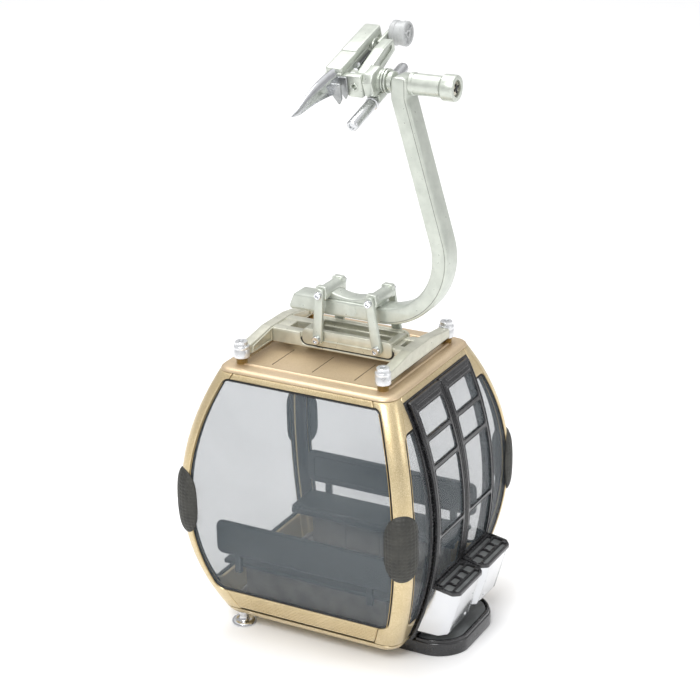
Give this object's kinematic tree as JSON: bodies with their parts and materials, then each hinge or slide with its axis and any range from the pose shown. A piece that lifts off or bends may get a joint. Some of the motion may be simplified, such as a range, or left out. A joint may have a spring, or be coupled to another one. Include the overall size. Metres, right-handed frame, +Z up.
{
  "type": "scale model gondola cable car cabin",
  "caption": "Scale model of a gondola cabin with two sliding door leaves and ski racks, glazed on every side, with a curved hanger arm and a spring jaw rope grip on top.",
  "frame": {"origin": "on the surface the model stands on, under the centre of its whole outline", "axes": "+X along the rope, -Y the door side, +Z up"},
  "size_m": [0.0642, 0.0738, 0.1552],
  "materials": {
    "gold_paint": "metallic champagne gold, satin gloss",
    "roof_paint": "metallic champagne gold, satin",
    "hanger_metal": "satin silver",
    "frame_metal": "pale champagne silver",
    "chrome": "bright",
    "rack_metal": "bright silver",
    "black_plastic": "gloss black",
    "bumper_rubber": "dimpled matt",
    "glass": "blue-grey tint",
    "seat_plastic": "dark slate",
    "tray_plastic": "brown-grey",
    "roller_plastic": "pale grey"
  },
  "bodies": {
    "cabin": {"floor_pan": "gold_paint", "floor_tray": "tray_plastic", "roof_panel": "roof_paint", "corner_castings": "gold_paint", "end_headers": "gold_paint", "side_headers": "gold_paint", "end_sills": "gold_paint", "back_sill": "gold_paint", "end_windows": "glass", "back_window": "glass", "quarter_windows": "glass", "door_jambs": "black_plastic", "door_sill": "black_plastic", "feet": "chrome", "bumpers": "bumper_rubber", "seat_cushions": "seat_plastic", "seat_backs": "seat_plastic", "seat_pedestals": "seat_plastic", "roof_stems": "gold_paint", "roof_frame": "frame_metal", "stem_caps": "chrome", "cradle": "frame_metal", "link_bars": "hanger_metal", "cross_tubes": "hanger_metal", "link_bolts": "chrome", "saddle": "hanger_metal", "hanger_arm": "hanger_metal", "axle_sleeve": "hanger_metal"},
    "door_left": {"door_frame_left": "black_plastic", "door_glass_left": "glass", "ski_rack_left": "rack_metal", "rack_grid_left": "black_plastic"},
    "door_right": {"door_frame_right": "black_plastic", "door_glass_right": "glass", "ski_rack_right": "rack_metal", "rack_grid_right": "black_plastic"},
    "grip": {"grip_body": "hanger_metal", "grip_pin": "chrome", "axle_cap": "hanger_metal", "guide_plate": "hanger_metal", "entry_scoop": "chrome", "rope_flanges": "chrome", "spring_rod": "hanger_metal"},
    "lever": {"jaw_lever": "hanger_metal"},
    "roller": {"roller": "roller_plastic"}
  },
  "joints": [
    {"name": "door_left_slide", "type": "slide", "parent": "cabin", "child": "door_left", "axis": [-1, 0, 0], "range_m": [0, 0.009]},
    {"name": "door_right_slide", "type": "slide", "parent": "cabin", "child": "door_right", "axis": [1, 0, 0], "range_m": [0, 0.009]},
    {"name": "grip_pitch", "type": "hinge", "parent": "cabin", "child": "grip", "pos_m": [0, -0.01492, 0.14488], "axis": [0, -1, 0], "range_deg": [-47, 13]},
    {"name": "lever_press", "type": "hinge", "parent": "grip", "child": "lever", "pos_m": [0, -0.00442, 0.14488], "axis": [0, 1, 0], "range_deg": [0, 15], "stiffness_Nm_per_rad": 0.01, "springref_deg": -11.46},
    {"name": "roller_spin", "type": "hinge", "parent": "lever", "child": "roller", "pos_m": [0.01764, -0.00507, 0.15215], "axis": [0, 1, 0], "continuous": true}
  ]
}
